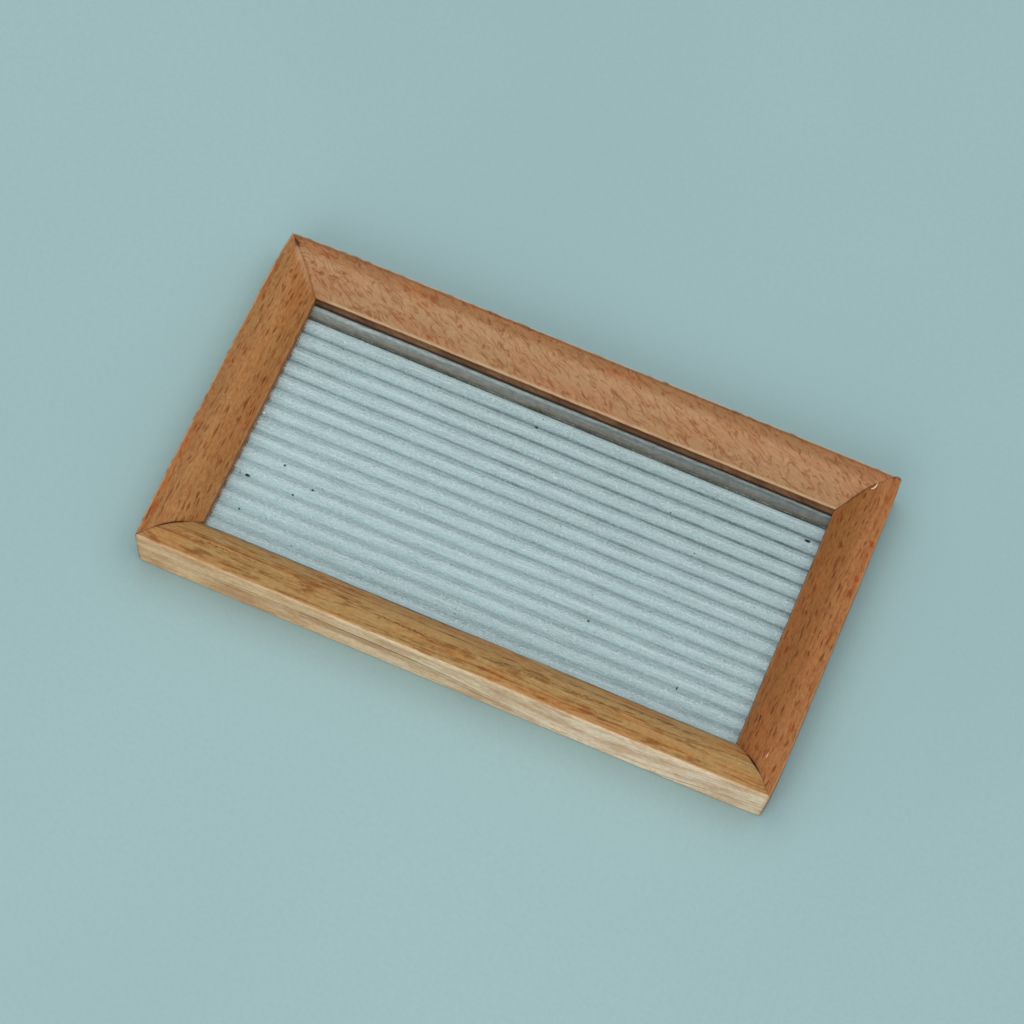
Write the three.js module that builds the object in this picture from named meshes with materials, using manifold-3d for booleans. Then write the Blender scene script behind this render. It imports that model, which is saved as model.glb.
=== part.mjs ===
// A small washboard for hand laundry: a pane of ribbed glass in a mitred beech frame.
// Units are millimetres. +X runs along the board, -Y is the front and +Z is up.
// The origin is at the middle of the underside.

import * as THREE from 'three';
import { mergeVertices } from 'three/addons/utils/BufferGeometryUtils.js';
import Module from 'manifold-3d';

// Frame
const BOARD_LENGTH = 160;
const BOARD_WIDTH = 92;
const RAIL_WIDTH = 12.6;
const RAIL_HEIGHT = 12;
const RIDGE_INSET = 4.4;
const CREASE_HEIGHT = 11.6;
const CREASE_RADIUS = 0.5;
const ARRIS_HEIGHT = 6.1;
const ARRIS_RADIUS = 0.35;
const FOOT_EASE = 0.3;
const MITRE_GAP = 0.3;

// Groove that holds the pane
const LIP_THICKNESS = 1;
const GROOVE_DEPTH = 2.4;
const GLASS_PLAY = 0.25;

// Ribbed glass
const GLASS_THICKNESS = 2.4;
const GLASS_GRIP = 2.1;
const RIB_PITCH = 4.2;
const RIB_HEIGHT = 0.6;
const RIB_SHIFT = 0.35;
const RIB_STEPS = 8;

// Brads that pin the mitres
const BRAD_LENGTH = 15;
const BRAD_RADIUS = 0.55;
const BRAD_POINT = 2;
const BRAD_HEAD_RADIUS = 0.95;
const BRAD_HEAD_THICKNESS = 0.6;
const BRAD_SET = 0.4;
const BRAD_INSET = 5.6;
const BRAD_HEIGHT = 7;
const BRAD_CLEARANCE = 0.15;
const BRAD_SIDES = 20;

const GROOVE_FLOOR = LIP_THICKNESS;
const GLASS_BOTTOM = GROOVE_FLOOR + GLASS_PLAY;
const RIB_CREST = GLASS_BOTTOM + GLASS_THICKNESS;
const RIB_VALLEY = RIB_CREST - RIB_HEIGHT;
const GROOVE_ROOF = RIB_CREST + GLASS_PLAY;
const PANE_LENGTH = BOARD_LENGTH - 2 * (RAIL_WIDTH - GLASS_GRIP);
const PANE_WIDTH = BOARD_WIDTH - 2 * (RAIL_WIDTH - GLASS_GRIP);

const wasm = await Module();
wasm.setup();

function toSolid(geometry) {
  const bare = geometry.clone();
  bare.deleteAttribute('normal');
  bare.deleteAttribute('uv');
  const merged = mergeVertices(bare, 1e-4);
  return new wasm.Manifold(new wasm.Mesh({
    numProp: 3,
    vertProperties: new Float32Array(merged.attributes.position.array),
    triVerts: new Uint32Array(merged.index.array),
  }));
}

function toGeometry(solid) {
  const mesh = solid.getMesh();
  const geometry = new THREE.BufferGeometry();
  geometry.setAttribute('position', new THREE.BufferAttribute(mesh.vertProperties, 3));
  geometry.setIndex(new THREE.BufferAttribute(mesh.triVerts, 1));
  const flat = geometry.toNonIndexed();
  flat.computeVertexNormals();
  return flat;
}

// Section of the moulding: x is the distance in from the outer side, y is the height.
// A nearly flat band by the outer side, then a swept slope down to the inner arris.
function railSection() {
  const shape = new THREE.Shape();
  const inner = RAIL_WIDTH;
  const grooveWall = RAIL_WIDTH - GROOVE_DEPTH;
  shape.moveTo(FOOT_EASE, 0);
  shape.lineTo(inner, 0);
  shape.lineTo(inner, GROOVE_FLOOR);
  shape.lineTo(grooveWall, GROOVE_FLOOR);
  shape.lineTo(grooveWall, GROOVE_ROOF);
  shape.lineTo(inner, GROOVE_ROOF);
  shape.lineTo(inner, ARRIS_HEIGHT - ARRIS_RADIUS);
  shape.quadraticCurveTo(inner, ARRIS_HEIGHT, inner - ARRIS_RADIUS, ARRIS_HEIGHT + ARRIS_RADIUS);
  shape.bezierCurveTo(
    inner - 2.8, ARRIS_HEIGHT + 3,
    RIDGE_INSET + 2.6, RAIL_HEIGHT,
    RIDGE_INSET, RAIL_HEIGHT,
  );
  shape.quadraticCurveTo(RIDGE_INSET / 2, RAIL_HEIGHT, CREASE_RADIUS, CREASE_HEIGHT);
  shape.quadraticCurveTo(0, CREASE_HEIGHT, 0, CREASE_HEIGHT - CREASE_RADIUS);
  shape.lineTo(0, FOOT_EASE);
  shape.closePath();
  return shape;
}

// A rail lies along X with its outer side on the plane y = 0 and its inside towards +Y.
// Both ends are cut back as far as each point is in from the outer side: a 45 degree mitre.
function mitredRail(length) {
  const geometry = new THREE.ExtrudeGeometry(railSection(), {
    depth: length,
    steps: 1,
    curveSegments: 8,
    bevelEnabled: false,
  });
  const position = geometry.attributes.position;
  const shortening = MITRE_GAP / Math.SQRT2;
  for (let i = 0; i < position.count; i += 1) {
    const inset = position.getX(i);
    const height = position.getY(i);
    const atFarEnd = position.getZ(i) > length / 2;
    const reach = length / 2 - inset - shortening;
    position.setXYZ(i, atFarEnd ? reach : -reach, inset, height);
  }
  return geometry;
}

// Half outline of a brad, turned about the Y axis: head up at y = 0, point down.
function bradProfile(growth) {
  const shank = BRAD_RADIUS + growth;
  const head = BRAD_HEAD_RADIUS + growth;
  const headTop = growth > 0 ? BRAD_SET + growth : 0;
  const tip = BRAD_LENGTH + growth;
  return [
    new THREE.Vector2(0, -tip),
    new THREE.Vector2(shank, -tip + BRAD_POINT),
    new THREE.Vector2(shank, -BRAD_HEAD_THICKNESS - growth),
    new THREE.Vector2(head, -BRAD_HEAD_THICKNESS - growth),
    new THREE.Vector2(head, headTop),
    new THREE.Vector2(0, headTop),
  ];
}

function bradGeometry(growth) {
  return new THREE.LatheGeometry(bradProfile(growth), BRAD_SIDES);
}

// Hole for a brad in a long rail: along X, in from the far end and from the near end.
function longRailHoles() {
  return [1, -1].map((side) => {
    const hole = bradGeometry(BRAD_CLEARANCE);
    hole.rotateZ(-side * Math.PI / 2);
    hole.translate(side * (BOARD_LENGTH / 2 - BRAD_SET), BRAD_INSET, BRAD_HEIGHT);
    return hole;
  });
}

// Hole for a brad in a short rail: across it, in from the outer side.
function shortRailHoles() {
  return [1, -1].map((side) => {
    const hole = bradGeometry(BRAD_CLEARANCE);
    hole.rotateX(Math.PI);
    hole.translate(side * (BOARD_WIDTH / 2 - BRAD_INSET), BRAD_SET, BRAD_HEIGHT);
    return hole;
  });
}

function drilledRail(length, holes) {
  let solid = toSolid(mitredRail(length));
  for (const hole of holes) {
    solid = solid.subtract(toSolid(hole));
  }
  return toGeometry(solid);
}

// Height of the ribbed face: a row of shallow arcs that meet in sharp valleys.
function ribHeightAt(y) {
  const radius = (RIB_PITCH ** 2 / 4 + RIB_HEIGHT ** 2) / (2 * RIB_HEIGHT);
  const phase = (y - RIB_SHIFT) / RIB_PITCH;
  const across = (phase - Math.floor(phase) - 0.5) * RIB_PITCH;
  return RIB_CREST - radius + Math.sqrt(radius ** 2 - across ** 2);
}

// The pane is cut from a wider sheet, so its two long edges cut through a rib.
function paneGeometry() {
  const half = PANE_WIDTH / 2;
  const step = RIB_PITCH / RIB_STEPS;
  const first = Math.ceil((-half - RIB_SHIFT) / step);
  const last = Math.floor((half - RIB_SHIFT) / step);
  const shape = new THREE.Shape();
  shape.moveTo(-half, GLASS_BOTTOM);
  shape.lineTo(half, GLASS_BOTTOM);
  shape.lineTo(half, ribHeightAt(half));
  for (let i = last; i >= first; i -= 1) {
    const y = RIB_SHIFT + i * step;
    const height = i % RIB_STEPS === 0 ? RIB_VALLEY : ribHeightAt(y);
    shape.lineTo(y, height);
  }
  shape.lineTo(-half, ribHeightAt(-half));
  shape.closePath();
  const geometry = new THREE.ExtrudeGeometry(shape, {
    depth: PANE_LENGTH,
    steps: 1,
    bevelEnabled: false,
  });
  geometry.translate(0, 0, -PANE_LENGTH / 2);
  geometry.rotateX(Math.PI / 2);
  geometry.rotateZ(Math.PI / 2);
  return geometry;
}

function beech() {
  return new THREE.MeshStandardMaterial({ color: 0xa47548, roughness: 0.6, metalness: 0 });
}

function glass() {
  return new THREE.MeshStandardMaterial({
    color: 0xb4cdd0,
    roughness: 0.08,
    metalness: 0,
    transparent: true,
    opacity: 0.35,
  });
}

function steel() {
  return new THREE.MeshStandardMaterial({ color: 0x6e6a66, roughness: 0.5, metalness: 1 });
}

function addMesh(parent, name, geometry, material) {
  const mesh = new THREE.Mesh(geometry, material);
  mesh.name = name;
  parent.add(mesh);
  return mesh;
}

function addFrame(board) {
  const longRail = drilledRail(BOARD_LENGTH, longRailHoles());
  const shortRail = drilledRail(BOARD_WIDTH, shortRailHoles());

  const front = addMesh(board, 'front_rail', longRail, beech());
  front.position.y = -BOARD_WIDTH / 2;

  const back = addMesh(board, 'back_rail', longRail, beech());
  back.position.y = BOARD_WIDTH / 2;
  back.rotation.z = Math.PI;

  const right = addMesh(board, 'right_rail', shortRail, beech());
  right.position.x = BOARD_LENGTH / 2;
  right.rotation.z = Math.PI / 2;

  const left = addMesh(board, 'left_rail', shortRail, beech());
  left.position.x = -BOARD_LENGTH / 2;
  left.rotation.z = -Math.PI / 2;
}

// One brad at each corner, driven from the end rail's outer side into the long rail.
function addBrads(board) {
  for (const [endName, endSide] of [['left', -1], ['right', 1]]) {
    for (const [rowName, rowSide] of [['front', -1], ['back', 1]]) {
      const brad = addMesh(board, `${rowName}_${endName}_brad`, bradGeometry(0), steel());
      brad.position.set(
        endSide * (BOARD_LENGTH / 2 - BRAD_SET),
        rowSide * (BOARD_WIDTH / 2 - BRAD_INSET),
        BRAD_HEIGHT,
      );
      brad.rotation.z = -endSide * Math.PI / 2;
    }
  }
}

const board = new THREE.Group();
addFrame(board);
addMesh(board, 'ribbed_glass_pane', paneGeometry(), glass());
addBrads(board);

export default board;
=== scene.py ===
"""Looks of a small hand washboard: ribbed glass in a mitred beech frame.

Metres, +X along the board, -Y the front, +Z up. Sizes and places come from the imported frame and
from the named values below. A list or a look that is in millimetres says so.
"""

import math
from collections import namedtuple

import bmesh
import bpy
import numpy as np
from mathutils import Matrix, Vector, noise
from mathutils.geometry import tessellate_polygon


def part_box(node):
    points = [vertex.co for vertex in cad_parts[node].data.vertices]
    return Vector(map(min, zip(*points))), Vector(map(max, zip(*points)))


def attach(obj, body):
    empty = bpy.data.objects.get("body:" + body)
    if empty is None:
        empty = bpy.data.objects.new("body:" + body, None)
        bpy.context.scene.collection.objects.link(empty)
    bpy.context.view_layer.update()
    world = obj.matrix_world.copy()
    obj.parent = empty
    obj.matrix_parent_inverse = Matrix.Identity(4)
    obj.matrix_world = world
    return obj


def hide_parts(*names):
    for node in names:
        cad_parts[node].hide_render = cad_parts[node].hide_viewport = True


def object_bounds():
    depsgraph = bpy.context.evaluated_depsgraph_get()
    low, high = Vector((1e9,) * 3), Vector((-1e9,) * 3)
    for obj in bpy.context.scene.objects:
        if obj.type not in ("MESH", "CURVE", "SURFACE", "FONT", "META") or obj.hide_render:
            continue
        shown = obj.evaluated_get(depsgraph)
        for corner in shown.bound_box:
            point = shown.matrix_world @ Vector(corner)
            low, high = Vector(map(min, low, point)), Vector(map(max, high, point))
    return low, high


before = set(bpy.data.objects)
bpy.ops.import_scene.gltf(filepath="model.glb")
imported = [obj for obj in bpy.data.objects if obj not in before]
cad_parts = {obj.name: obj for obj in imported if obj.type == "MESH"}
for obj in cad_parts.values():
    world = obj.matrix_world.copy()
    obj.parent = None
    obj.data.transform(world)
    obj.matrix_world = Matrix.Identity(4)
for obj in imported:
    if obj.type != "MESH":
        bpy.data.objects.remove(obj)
cad_low, cad_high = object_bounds()

MM = 0.001
TO_MM = (1000, 1000, 1000)

# The board, from the frame
BOARD_LENGTH = cad_high.x - cad_low.x
BOARD_WIDTH = cad_high.y - cad_low.y
FRONT_LOW, FRONT_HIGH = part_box("front_rail")
PANE_LOW, PANE_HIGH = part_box("ribbed_glass_pane")
RAIL_WIDTH = FRONT_HIGH.y - FRONT_LOW.y
RAIL_HEIGHT = FRONT_HIGH.z

# The moulding's section, as on the CAD rails
RIDGE_INSET = 4.4 * MM
CREASE_HEIGHT = 11.6 * MM
CREASE_RADIUS = 0.5 * MM
ARRIS_HEIGHT = 6.1 * MM
ARRIS_SOFTENING = 0.35 * MM
FOOT_EASE = 0.3 * MM
GROOVE_DEPTH = 2.4 * MM
GLASS_PLAY = 0.25 * MM

# The rails' meshes: rows up the outer side and the longest step along a rail
SIDE_ROWS = 16
RAIL_STEP = 0.8 * MM

# The ribs, and how far in front of a valley its shadow falls on the pane's underside
RIB_PITCH = 4.2 * MM
RIB_HEIGHT = 0.6 * MM
RIB_SHIFT = 0.35 * MM
SHADOW_SHIFT = 0.80 * MM
BACK_WALL = BOARD_WIDTH / 2 - RAIL_WIDTH
LAST_VALLEY = RIB_SHIFT + math.floor((BACK_WALL - 1 * MM - RIB_SHIFT) / RIB_PITCH) * RIB_PITCH

# The recesses over the brads' heads, on the outer sides of the end rails
BRAD_ALONG = 40.4 * MM
BRAD_HEIGHT = 7.0 * MM
RECESS_MOUTH = 1.15 * MM
RECESS_RADIUS = 1.05 * MM
RECESS_DEPTH = 1.1 * MM
RECESS_REACH = 1.9 * MM

# The camera, round a point on the floor just behind the board's middle
CAMERA_AZIMUTH = 10.41
CAMERA_ELEVATION = 61.80
CAMERA_ROLL = 13.14
CAMERA_DISTANCE = 1.0165
CAMERA_TARGET = Vector((-3.1 * MM, 3.3 * MM, 0))
CAMERA_LENS = 150.0
SENSOR_WIDTH = 36.0

# The studio: its even light, and the name, place, width, power and colour of each lamp
WORLD_COLOUR = (0.95, 0.99, 1.0, 1)
WORLD_STRENGTH = 0.42
LAMPS = [
    ("overhead", Vector((0.02, 0.30, 1.20)), 2.0, 10.0, (0.97, 0.99, 1.0)),
    ("front_fill", Vector((-0.10, -0.92, 0.65)), 0.9, 4.2, (1.0, 0.99, 0.97)),
]
TABLE_HALF = 3.0


# -------- camera and light


def make_camera():
    """A long lens that looks down at the board from the front, turned by the roll."""
    a, e, roll = (math.radians(v) for v in (CAMERA_AZIMUTH, CAMERA_ELEVATION, CAMERA_ROLL))
    back = Vector((math.sin(a) * math.cos(e), -math.cos(a) * math.cos(e), math.sin(e)))
    level = Vector((0, 0, 1)).cross(back).normalized()
    upright = back.cross(level)
    right = level * math.cos(roll) + upright * math.sin(roll)
    up = back.cross(right)
    data = bpy.data.cameras.new("camera")
    data.sensor_width = SENSOR_WIDTH
    data.lens = CAMERA_LENS
    data.clip_start = 0.01
    camera = bpy.data.objects.new("camera", data)
    bpy.context.scene.collection.objects.link(camera)
    camera.matrix_world = Matrix((right, up, back)).transposed().to_4x4()
    camera.location = CAMERA_TARGET + back * CAMERA_DISTANCE
    bpy.context.scene.camera = camera


def make_light():
    """A pale even world and two round lamps that face the board."""
    world = bpy.data.worlds.new("studio")
    bpy.context.scene.world = world
    world.use_nodes = True
    background = world.node_tree.nodes["Background"]
    background.inputs["Color"].default_value = WORLD_COLOUR
    background.inputs["Strength"].default_value = WORLD_STRENGTH
    for name, place, width, power, colour in LAMPS:
        data = bpy.data.lights.new(name, "AREA")
        data.shape = "DISK"
        data.size = width
        data.energy = power
        data.color = colour
        lamp = bpy.data.objects.new(name, data)
        bpy.context.scene.collection.objects.link(lamp)
        lamp.location = place
        lamp.rotation_euler = (-place).to_track_quat("-Z", "Y").to_euler()
    bpy.context.scene.view_settings.view_transform = "Standard"


# -------- node helpers


class Nodes:
    """A material's node tree. Most calls add nodes and return the output of the last one."""

    def __init__(self, name):
        self.material = bpy.data.materials.new(name)
        self.material.use_nodes = True
        self.tree = self.material.node_tree
        self.shader = self.tree.nodes["Principled BSDF"]
        self.output = self.tree.nodes["Material Output"]

    def add(self, kind, **settings):
        """A new node of a kind, with its settings."""
        node = self.tree.nodes.new(kind)
        for key, value in settings.items():
            setattr(node, key, value)
        return node

    def feed(self, socket, value):
        """Links an output to a socket, or sets the socket to a number, vector or colour."""
        if hasattr(value, "is_output"):
            self.tree.links.new(value, socket)
        elif isinstance(value, (int, float)):
            socket.default_value = value
        else:
            value = tuple(value)
            wanted = len(socket.default_value)
            socket.default_value = value + (1,) * (wanted - len(value))

    def attribute(self, name, output="Fac"):
        return self.add("ShaderNodeAttribute", attribute_name=name).outputs[output]

    def place(self):
        """The object's own coordinates, in metres."""
        return self.add("ShaderNodeTexCoord").outputs["Object"]

    def math(self, operation, a, b=0.0, c=0.0, clamp=False):
        node = self.add("ShaderNodeMath", operation=operation, use_clamp=clamp)
        for socket, value in zip(node.inputs, (a, b, c)):
            self.feed(socket, value)
        return node.outputs[0]

    def set(self, name, value):
        """Feeds one of the shader's own sockets."""
        self.feed(self.shader.inputs[name], value)

    def times(self, a, b):
        return self.math("MULTIPLY", a, b)

    def stretch(self, vector, scale):
        """A vector with each of its parts scaled."""
        return self.vector("MULTIPLY", vector, scale)

    def noise(self, vector, scale, detail=2.0, roughness=0.5, distortion=0.0):
        node = self.add("ShaderNodeTexNoise")
        self.feed(node.inputs["Vector"], vector)
        node.inputs["Scale"].default_value = scale
        node.inputs["Detail"].default_value = detail
        node.inputs["Roughness"].default_value = roughness
        node.inputs["Distortion"].default_value = distortion
        return node.outputs["Fac"]

    def join(self, x, y, z=0.0):
        node = self.add("ShaderNodeCombineXYZ")
        for socket, value in zip(node.inputs, (x, y, z)):
            self.feed(socket, value)
        return node.outputs[0]

    def vector(self, operation, a, b, output="Vector"):
        node = self.add("ShaderNodeVectorMath", operation=operation)
        self.feed(node.inputs[0], a)
        self.feed(node.inputs[1], b)
        return node.outputs[output]

    def length(self, vector):
        node = self.add("ShaderNodeVectorMath", operation="LENGTH")
        self.feed(node.inputs[0], vector)
        return node.outputs["Value"]

    def dashes(self, vector, cell, half, share):
        """Scattered lens-shaped dashes: cell and half sizes along and across, share filled.

        Each cell's random colour decides whether it holds a dash, how big and how strong.
        """
        scaled = self.stretch(vector, (1 / cell[0], 1 / cell[1], 0))
        cells = self.add("ShaderNodeTexVoronoi", feature="F1", voronoi_dimensions="2D")
        self.feed(cells.inputs["Vector"], scaled)
        cells.inputs["Scale"].default_value = 1.0
        chance = self.add("ShaderNodeSeparateColor")
        self.feed(chance.inputs[0], cells.outputs["Color"])
        reach = self.math("MULTIPLY_ADD", chance.outputs[1], 0.7, 0.6)
        offset = self.vector("SUBTRACT", scaled, cells.outputs["Position"])
        offset = self.vector("MULTIPLY", offset, (cell[0] / half[0], cell[1] / half[1], 0))
        distance = self.math("DIVIDE", self.length(offset), reach)
        filled = self.fade(chance.outputs[0], 1 - share, 1.03 - share)
        weight = self.times(filled, self.math("MULTIPLY_ADD", chance.outputs[2], 0.6, 0.4))
        return self.times(self.fade(distance, 1.0, 0.45), weight)

    def spot(self, vector, centre, half, soft):
        """An oval patch, 1 inside and 0 outside. soft is how much of it is its soft edge."""
        offset = self.vector("SUBTRACT", vector, (*centre, 0))
        offset = self.vector("MULTIPLY", offset, (1 / half[0], 1 / half[1], 0))
        return self.fade(self.length(offset), 1.0, 1.0 - soft)

    def fade(self, value, low, high, out_low=0.0, out_high=1.0):
        """A smooth step from out_low at low to out_high at high."""
        node = self.add("ShaderNodeMapRange", interpolation_type="SMOOTHSTEP")
        for socket, part in zip(node.inputs, (value, low, high, out_low, out_high)):
            self.feed(socket, part)
        return node.outputs[0]

    def mix(self, factor, a, b, blend="MIX"):
        node = self.add("ShaderNodeMix", data_type="RGBA", blend_type=blend)
        self.feed(node.inputs["Factor"], factor)
        self.feed(node.inputs["A"], a)
        self.feed(node.inputs["B"], b)
        return node.outputs["Result"]

    def mix_shaders(self, factor, a, b):
        node = self.add("ShaderNodeMixShader")
        for socket, value in zip(node.inputs, (factor, a, b)):
            self.feed(socket, value)
        return node.outputs[0]

    def bump(self, height, strength, distance):
        """A normal from a height from 0 to 1 that stands for a distance in metres."""
        node = self.add("ShaderNodeBump")
        node.inputs["Strength"].default_value = strength
        node.inputs["Distance"].default_value = distance
        self.feed(node.inputs["Height"], height)
        return node.outputs["Normal"]


def srgb(red, green, blue):
    """Linear colour of an 8-bit display colour."""
    def linear(v):
        v /= 255
        return v / 12.92 if v <= 0.04045 else ((v + 0.055) / 1.055) ** 2.4
    return (linear(red), linear(green), linear(blue), 1)


# -------- materials


# The table's paper: two cloudy tones and its grain
PAPER_DARK = srgb(157, 186, 188)
PAPER_LIGHT = srgb(162, 191, 193)
PAPER_GRAIN = srgb(148, 181, 184)

# Worn wood with a painted highlight, dirt with painted shade, and torn wood
WORN_WOOD_AND_HIGHLIGHT = srgb(226, 192, 156)
WOOD_DIRT_AND_SHADE = srgb(66, 36, 26)
TORN_WOOD_DARK = srgb(222, 190, 156)
TORN_WOOD_LIGHT = srgb(240, 220, 196)

# What darker, lighter and marked places multiply the wood's colour by
DARK_GRAIN = (0.68, 0.55, 0.38)
LIGHT_GRAIN = (1.20, 1.18, 1.12)
PATCH_TINT = (0.92, 0.74, 0.52)
ARC_TINT = (0.62, 0.44, 0.28)
FLECK_TINT = (0.54, 0.32, 0.13)
MARK_TINTS = {
    "blush": (1.03, 0.81, 0.60),
    "ember": (0.90, 0.62, 0.40),
    "flame": (0.93, 0.72, 0.50),
    "shade": (0.58, 0.48, 0.38),
    "pale": (2.10, 3.40, 6.00),
    "tan": (0.94, 0.83, 0.72),
    "cream": (1.12, 1.14, 1.26),
    "dusk": (0.78, 0.72, 0.68),
}

# Each rail's wood, in millimetres. slope, band, side and warm are colours; tone, mottle, lines and
# arcs are strengths; sway is how far the grain waves; figure is how often the arcs come, and
# long_figure lays them along the growth lines. flecks: cell, half sizes, share of cells filled,
# strength. marks: kind, middle and half sizes, along and in from the outer side; side_marks: along
# and up that side.
LOOKS = {
    "back_rail": {
        "slope": srgb(183, 142, 102), "band": srgb(162, 116, 74), "side": srgb(170, 126, 88),
        "warm": srgb(182, 116, 74), "tone": 0.40, "sway": 2.6, "mottle": 0.24, "lines": 0.15,
        "flecks": [((6.5, 3.0), (1.7, 0.28), 0.34, 0.80), ((3.8, 1.5), (0.9, 0.18), 0.26, 0.45)],
        "arcs": 0.80, "figure": (0.16, 0.75, 0),
        "marks": [
            ("shade", (20, 0.9), (16, 0.35)), ("shade", (-36, 0.8), (22, 0.35)),
            ("blush", (44, 3.2), (7, 0.9)), ("blush", (-8, 3.0), (9, 0.8)),
            ("shade", (71.4, 6.4), (0.9, 0.45)), ("shade", (68.4, 7.8), (1.5, 0.40)),
            ("shade", (65.0, 7.4), (1.4, 0.40)), ("shade", (63.4, 6.0), (1.2, 0.45)),
            ("shade", (22.4, 4.6), (0.5, 1.9)), ("shade", (32.3, 7.1), (0.4, 0.8)),
            ("shade", (25.2, 8.9), (0.4, 0.9)),
        ],
    },
    "front_rail": {
        "slope": srgb(175, 142, 90), "band": srgb(171, 136, 83), "side": srgb(244, 221, 188),
        "warm": srgb(184, 124, 66), "tone": 0.50, "sway": 1.0, "mottle": 0.40, "lines": 0.65,
        "flecks": [((9.0, 1.3), (3.0, 0.13), 0.35, 0.6)],
        "arcs": 0.95, "figure": (0.035, 0.50, 0.50), "long_figure": True,
        "side_marks": [
            ("shade", (-20, 7.0), (60, 0.34)), ("shade", (-16, 7.0), (44, 0.22)),
            ("shade", (60, 5.6), (24, 0.30)), ("shade", (20, 2.4), (30, 0.24)),
            ("shade", (48, 3.4), (34, 0.22)), ("dusk", (-24, 5.8), (60, 1.5)),
            ("tan", (-60, 6.0), (60, 14.0)), ("cream", (52, 9.0), (50, 12.0)),
        ],
        "marks": [
            ("blush", (0, 3.2), (5.5, 0.8)), ("blush", (10, 2.6), (5.0, 1.2)),
            ("flame", (11, 3.6), (2.6, 0.45)), ("flame", (9.6, 1.1), (3.0, 0.6)),
            ("flame", (-1.5, 2.9), (3.0, 0.5)), ("flame", (3.0, 3.8), (2.4, 0.5)),
            ("shade", (9.6, 5.0), (3.8, 0.35)), ("flame", (-37.4, 3.4), (2.8, 0.7)),
            ("shade", (-38.6, 4.6), (3.4, 0.3)), ("flame", (-28.0, 1.0), (3.4, 0.5)),
            ("shade", (-14, 4.5), (15, 0.30)), ("shade", (15, 5.6), (12, 0.32)),
            ("shade", (30, 5.9), (12, 0.30)), ("shade", (-34, 9.3), (9, 0.34)),
            ("shade", (44, 8.3), (24, 0.34)), ("shade", (2, 9.6), (26, 0.30)),
            ("shade", (-58, 5.2), (14, 0.26)), ("blush", (-55, 7.3), (6.0, 0.5)),
            ("blush", (28, 2.0), (10.0, 0.7)), ("blush", (55, 2.4), (8.0, 0.7)),
        ],
    },
    "left_rail": {
        "slope": srgb(178, 126, 74), "band": srgb(164, 116, 68), "side": srgb(168, 122, 80),
        "warm": srgb(178, 104, 52), "tone": 0.40, "sway": 1.4, "mottle": 0.50, "lines": 0.30,
        "flecks": [((4.0, 1.3), (1.5, 0.27), 0.52, 1.0), ((6.4, 1.4), (2.8, 0.24), 0.34, 0.9)],
        "arcs": 0.45, "figure": (0.16, 0.85, 0),
        "marks": [
            ("ember", (-34.4, 1.6), (2.0, 0.8)), ("blush", (-26.7, 1.3), (4.5, 0.9)),
            ("blush", (-6.6, 1.6), (3.0, 0.6)), ("blush", (-39.4, 3.7), (1.2, 0.9)),
            ("blush", (18.7, 1.3), (3.0, 0.9)), ("blush", (30.4, 1.4), (2.6, 1.0)),
            ("ember", (37.4, 1.6), (3.2, 0.8)),
        ],
    },
    "right_rail": {
        "slope": srgb(154, 101, 52), "band": srgb(168, 111, 62), "side": srgb(164, 118, 78),
        "warm": srgb(176, 104, 56), "tone": 0.40, "sway": 1.4, "mottle": 0.50, "lines": 0.30,
        "flecks": [((3.8, 1.25), (1.5, 0.27), 0.52, 1.0), ((6.6, 1.4), (2.8, 0.24), 0.36, 0.9)],
        "arcs": 0.45, "figure": (0.16, 0.85, 0),
        "marks": [
            ("ember", (38.7, 2.1), (1.1, 0.8)), ("ember", (25.8, 1.2), (1.4, 0.9)),
            ("ember", (25.6, 1.2), (0.9, 0.6)), ("ember", (15.6, 1.5), (0.9, 0.6)),
            ("ember", (22.2, 1.3), (1.2, 0.7)), ("ember", (15.6, 1.5), (1.3, 0.8)),
            ("blush", (12.4, 1.4), (2.0, 0.8)), ("shade", (-20.9, 2.9), (1.8, 0.8)),
            ("blush", (-26.6, 2.5), (2.2, 0.8)), ("blush", (0.0, 1.4), (5.0, 0.6)),
            ("pale", (-36.3, 4.8), (1.2, 0.22)),
        ],
    },
}


def paper_material():
    """Pale paper with faint clouds and a fine grain."""
    n = Nodes("table_paper")
    place = n.place()
    cloud = n.noise(place, 5.0, 3.0)
    grain = n.noise(place, 900.0, 2.0)
    colour = n.mix(n.fade(cloud, 0.3, 0.7), PAPER_DARK, PAPER_LIGHT)
    colour = n.mix(n.fade(grain, 0.35, 0.7, 0, 0.25), colour, PAPER_GRAIN)
    n.set("Base Color", colour)
    n.set("Roughness", 0.85)
    n.set("Normal", n.bump(grain, 0.15, 0.0002))
    return n.material


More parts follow.
